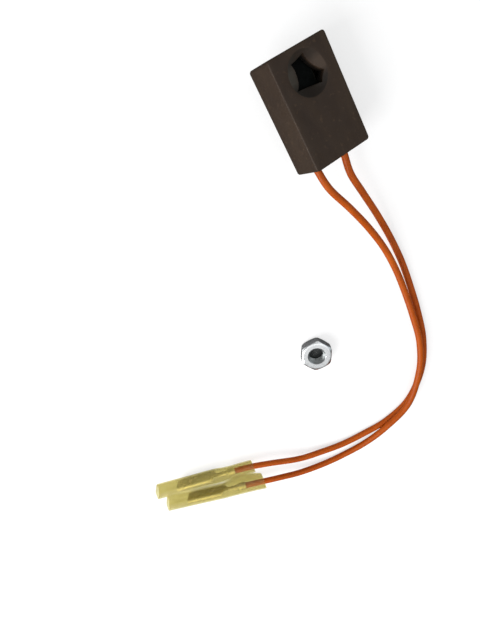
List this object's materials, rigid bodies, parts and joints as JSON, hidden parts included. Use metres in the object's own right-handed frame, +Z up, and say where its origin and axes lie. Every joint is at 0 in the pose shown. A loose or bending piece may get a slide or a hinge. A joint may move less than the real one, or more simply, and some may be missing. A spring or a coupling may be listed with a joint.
{
  "type": "radiant flame sensor",
  "caption": "Radiant flame sensor: moulded block with a round viewing port, a rear stud and loose nut, and flying leads ending in sleeved push-on receptacles.",
  "frame": {"origin": "where the stud's axis meets the mounting (rear) face of the housing", "axes": "+Z up from the bench the sensor lies on, +Y along the housing from its lead end to its port end; the housing is turned 27.8 degrees about Y because it lies propped on its stud"},
  "size_m": [0.1154, 0.1276, 0.0192],
  "materials": {
    "phenolic": "moulded, matte, fine grain",
    "phenolic_cover": "moulded, matte",
    "screw_steel": "zinc plated, dull",
    "zinc_steel": "bright zinc plated",
    "brass": "machined",
    "ceramic_spacer": "unglazed",
    "strip_brass": "rolled strip",
    "silver_contact": "satin silver",
    "spring_bronze": "rolled spring strip",
    "black_bimetal": "heat-absorbing black",
    "silicone": "satin silicone rubber",
    "tinned_copper": "stranded, tinned",
    "receptacle_brass": "bright pressed strip",
    "nylon_sleeve": "translucent, natural"
  },
  "bodies": {
    "housing_body": {"housing": "phenolic", "rear_cover": "phenolic_cover", "cover_screws": "screw_steel", "mounting_stud": "zinc_steel", "stack_rivets": "brass", "spacer_rear": "ceramic_spacer", "spacer_middle": "ceramic_spacer", "spacer_front": "ceramic_spacer", "terminal_strip": "strip_brass", "fixed_contact_strip": "strip_brass", "fixed_contact": "silver_contact", "ferrule_a": "strip_brass", "ferrule_b": "strip_brass", "lead_a": "silicone", "lead_b": "silicone", "conductor_a": "tinned_copper", "conductor_b": "tinned_copper"},
    "nut": {"mounting_nut": "zinc_steel"},
    "cal_screw": {"calibration_screw": "brass"},
    "blade": {"sensing_blade": "black_bimetal", "pusher_pin": "ceramic_spacer"},
    "arm": {"contact_arm": "spring_bronze", "moving_contact": "silver_contact"},
    "tail": {"lead_a_tail": "silicone", "lead_b_tail": "silicone", "conductor_a_tail": "tinned_copper", "conductor_b_tail": "tinned_copper"},
    "connector_a": {"lead_a_end": "silicone", "conductor_a_end": "tinned_copper", "terminal_a": "receptacle_brass"},
    "connector_b": {"lead_b_end": "silicone", "conductor_b_end": "tinned_copper", "terminal_b": "receptacle_brass"},
    "slip_a": {"sleeve_a": "nylon_sleeve"},
    "slip_b": {"sleeve_b": "nylon_sleeve"}
  },
  "joints": [
    {"name": "blade_flex", "type": "hinge", "parent": "housing_body", "child": "blade", "pos_m": [0.00294, -0.005, 0.00558], "axis": [-0.8846, 0, 0.4664], "range_deg": [0, 2]},
    {"name": "arm_flex", "type": "hinge", "parent": "housing_body", "child": "arm", "pos_m": [0.00139, -0.005, 0.00264], "axis": [-0.8846, 0, 0.4664], "range_deg": [0, 2]},
    {"name": "calibration_turn", "type": "hinge", "parent": "housing_body", "child": "cal_screw", "pos_m": [0.00427, 0.006, -0.00112], "axis": [-0.4664, 0, -0.8846], "range_deg": [-180, 180]},
    {"name": "nut_lift", "type": "slide", "parent": "housing_body", "child": "nut", "axis": [0, 0, 1], "range_m": [0, 0.05]},
    {"name": "lead_flex", "type": "hinge", "parent": "housing_body", "child": "tail", "pos_m": [0.00452, -0.0775, -0.00415], "axis": [0, 0, 1], "range_deg": [-15, 15]},
    {"name": "connector_a_swing", "type": "hinge", "parent": "tail", "child": "connector_a", "pos_m": [-0.0364, -0.1079, -0.00509], "axis": [0, 0, 1], "range_deg": [-1.5, 18]},
    {"name": "connector_b_swing", "type": "hinge", "parent": "tail", "child": "connector_b", "pos_m": [-0.0345, -0.1033, -0.0049], "axis": [0, 0, 1], "range_deg": [-18, 1.5]},
    {"name": "sleeve_a_slide", "type": "slide", "parent": "connector_a", "child": "slip_a", "axis": [0.9781, -0.2079, 0], "range_m": [0, 0.003]},
    {"name": "sleeve_b_slide", "type": "slide", "parent": "connector_b", "child": "slip_b", "axis": [0.9857, -0.1685, 0], "range_m": [0, 0.003]}
  ],
  "couplings": [
    {"joint": "arm_flex", "follows": "blade_flex", "ratio": 1}
  ]
}
